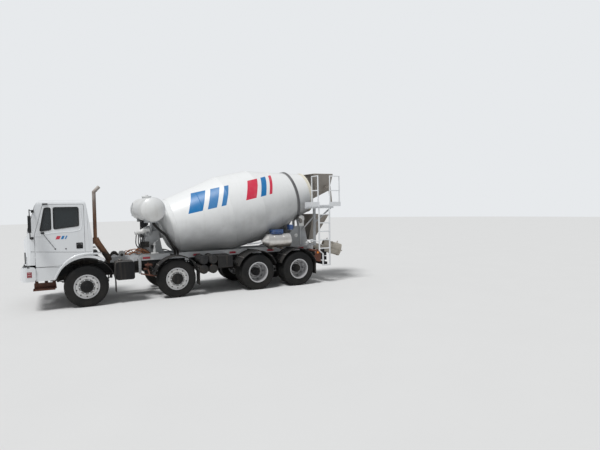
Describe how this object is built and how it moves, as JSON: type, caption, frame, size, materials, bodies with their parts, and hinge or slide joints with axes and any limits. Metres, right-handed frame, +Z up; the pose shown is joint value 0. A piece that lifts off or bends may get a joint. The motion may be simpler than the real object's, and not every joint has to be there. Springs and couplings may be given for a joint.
{
  "type": "concrete mixer truck",
  "caption": "Forward-control truck with a tilting cab, steered and driven axles, a sloping mixing drum, water tank, charging hopper, ladder, platform and a swinging folding chute.",
  "frame": {"origin": "on the ground under the middle of the truck's overall length and width", "axes": "+X toward the tail, -X toward the cab's nose, -Y is the driver's side with the ladder, +Z up"},
  "size_m": [9.5563, 2.95, 3.5732],
  "materials": {
    "chassis_black": "satin, dusty",
    "body_white": "gloss",
    "steel_grey": "satin",
    "cast_dark": "rough",
    "rubber": "matt",
    "tyre": "matt",
    "glass": "clear",
    "lamp_glass": "clear",
    "plastic_black": "matt",
    "rim_silver": "satin",
    "stainless": "brushed",
    "rust": "rusty",
    "tail_red": "gloss",
    "chute_cream": "worn",
    "seat_cloth": "woven"
  },
  "bodies": {
    "chassis": {"chassis_frame": "chassis_black", "leaf_springs": "chassis_black", "steer_axles": "chassis_black", "drive_axles": "chassis_black", "engine_block": "cast_dark", "mixer_subframe": "body_white", "front_pedestal": "steel_grey", "water_tank": "body_white", "rear_pedestal": "steel_grey", "discharge_hopper": "steel_grey", "front_bumper": "body_white", "fuel_tank": "chassis_black", "air_tanks": "chassis_black", "battery_box": "chassis_black", "mudguards": "plastic_black", "side_tank": "stainless", "ladder": "body_white", "platform": "body_white", "rear_lamps": "tail_red", "exhaust_stack": "rust", "water_hoses": "rubber"},
    "cab": {"cab_shell": "body_white", "cab_glass": "glass", "front_grille": "plastic_black", "head_lamps": "lamp_glass", "cab_interior": "seat_cloth", "mirrors": "plastic_black"},
    "door_left": {"door_left": "body_white", "door_glass_left": "glass"},
    "door_right": {"door_right": "body_white", "door_glass_right": "glass"},
    "drum": {"drum_shell": "body_white", "drum_blades": "rim_silver"},
    "roller_left": {"roller_left": "rim_silver"},
    "roller_right": {"roller_right": "rim_silver"},
    "charging_hopper": {"charging_hopper": "steel_grey"},
    "chute_swivel": {"chute_swivel": "steel_grey"},
    "main_chute": {"main_chute": "chute_cream"},
    "fold_chute": {"fold_chute": "chute_cream"},
    "knuckle_1_left": {"knuckle_1_left": "cast_dark"},
    "knuckle_1_right": {"knuckle_1_right": "cast_dark"},
    "knuckle_2_left": {"knuckle_2_left": "cast_dark"},
    "knuckle_2_right": {"knuckle_2_right": "cast_dark"},
    "wheel_1_left": {"wheel_1_left": "rim_silver", "tyre_1_left": "tyre"},
    "wheel_1_right": {"wheel_1_right": "rim_silver", "tyre_1_right": "tyre"},
    "wheel_2_left": {"wheel_2_left": "rim_silver", "tyre_2_left": "tyre"},
    "wheel_2_right": {"wheel_2_right": "rim_silver", "tyre_2_right": "tyre"},
    "wheel_3_left": {"wheel_3_left": "rim_silver", "tyre_3_left": "tyre"},
    "wheel_3_right": {"wheel_3_right": "rim_silver", "tyre_3_right": "tyre"},
    "wheel_4_left": {"wheel_4_left": "rim_silver", "tyre_4_left": "tyre"},
    "wheel_4_right": {"wheel_4_right": "rim_silver", "tyre_4_right": "tyre"}
  },
  "joints": [
    {"name": "cab_tilt", "type": "hinge", "parent": "chassis", "child": "cab", "pos_m": [-4.67315, 0, 1.107], "axis": [0, -1, 0], "range_deg": [0, 45]},
    {"name": "door_left_swing", "type": "hinge", "parent": "cab", "child": "door_left", "pos_m": [-4.44415, -1.18, 1.7], "axis": [0, 0, -1], "range_deg": [0, 65]},
    {"name": "door_right_swing", "type": "hinge", "parent": "cab", "child": "door_right", "pos_m": [-4.44415, 1.18, 1.7], "axis": [0, 0, 1], "range_deg": [0, 65]},
    {"name": "drum_spin", "type": "hinge", "parent": "chassis", "child": "drum", "pos_m": [-1.35515, 0, 1.826], "axis": [0.9763, 0, 0.2164], "continuous": true},
    {"name": "roller_left_spin", "type": "hinge", "parent": "chassis", "child": "roller_left", "pos_m": [2.98718, -0.54564, 1.99049], "axis": [0.9763, 0, 0.2164], "continuous": true},
    {"name": "roller_right_spin", "type": "hinge", "parent": "chassis", "child": "roller_right", "pos_m": [2.98718, 0.54564, 1.99049], "axis": [0.9763, 0, 0.2164], "continuous": true},
    {"name": "hopper_tilt", "type": "hinge", "parent": "chassis", "child": "charging_hopper", "pos_m": [4.09185, 0, 2.52], "axis": [0, 1, 0], "range_deg": [0, 35]},
    {"name": "chute_swing", "type": "hinge", "parent": "chassis", "child": "chute_swivel", "pos_m": [3.80185, 0, 0.8], "axis": [0, 0, 1], "range_deg": [-70, 110]},
    {"name": "chute_tilt", "type": "hinge", "parent": "chute_swivel", "child": "main_chute", "pos_m": [3.80185, 0, 0.96], "axis": [-0.342, -0.9397, 0], "range_deg": [0, 30]},
    {"name": "chute_fold", "type": "hinge", "parent": "main_chute", "child": "fold_chute", "pos_m": [4.68185, -0.32029, 0.90374], "axis": [0.342, 0.9397, 0], "range_deg": [0, 176]},
    {"name": "steer_1_left", "type": "hinge", "parent": "chassis", "child": "knuckle_1_left", "pos_m": [-3.34815, -0.85, 0.52], "axis": [0, 0, 1], "range_deg": [-32, 32]},
    {"name": "steer_1_right", "type": "hinge", "parent": "chassis", "child": "knuckle_1_right", "pos_m": [-3.34815, 0.85, 0.52], "axis": [0, 0, 1], "range_deg": [-32, 32]},
    {"name": "steer_2_left", "type": "hinge", "parent": "chassis", "child": "knuckle_2_left", "pos_m": [-1.09815, -0.85, 0.52], "axis": [0, 0, 1], "range_deg": [-22, 22]},
    {"name": "steer_2_right", "type": "hinge", "parent": "chassis", "child": "knuckle_2_right", "pos_m": [-1.09815, 0.85, 0.52], "axis": [0, 0, 1], "range_deg": [-22, 22]},
    {"name": "roll_1_left", "type": "hinge", "parent": "knuckle_1_left", "child": "wheel_1_left", "pos_m": [-3.34815, -1.03, 0.52], "axis": [0, 1, 0], "continuous": true},
    {"name": "roll_1_right", "type": "hinge", "parent": "knuckle_1_right", "child": "wheel_1_right", "pos_m": [-3.34815, 1.03, 0.52], "axis": [0, 1, 0], "continuous": true},
    {"name": "roll_2_left", "type": "hinge", "parent": "knuckle_2_left", "child": "wheel_2_left", "pos_m": [-1.09815, -1.03, 0.52], "axis": [0, 1, 0], "continuous": true},
    {"name": "roll_2_right", "type": "hinge", "parent": "knuckle_2_right", "child": "wheel_2_right", "pos_m": [-1.09815, 1.03, 0.52], "axis": [0, 1, 0], "continuous": true},
    {"name": "roll_3_left", "type": "hinge", "parent": "chassis", "child": "wheel_3_left", "pos_m": [1.25185, -0.9375, 0.52], "axis": [0, 1, 0], "continuous": true},
    {"name": "roll_3_right", "type": "hinge", "parent": "chassis", "child": "wheel_3_right", "pos_m": [1.25185, 0.9375, 0.52], "axis": [0, 1, 0], "continuous": true},
    {"name": "roll_4_left", "type": "hinge", "parent": "chassis", "child": "wheel_4_left", "pos_m": [2.60185, -0.9375, 0.52], "axis": [0, 1, 0], "continuous": true},
    {"name": "roll_4_right", "type": "hinge", "parent": "chassis", "child": "wheel_4_right", "pos_m": [2.60185, 0.9375, 0.52], "axis": [0, 1, 0], "continuous": true}
  ],
  "couplings": [
    {"joint": "roller_left_spin", "follows": "drum_spin", "ratio": -6.608},
    {"joint": "roller_right_spin", "follows": "drum_spin", "ratio": -6.608},
    {"joint": "steer_1_right", "follows": "steer_1_left", "ratio": 1},
    {"joint": "steer_2_left", "follows": "steer_1_left", "ratio": 0.6875},
    {"joint": "steer_2_right", "follows": "steer_1_left", "ratio": 0.6875}
  ]
}
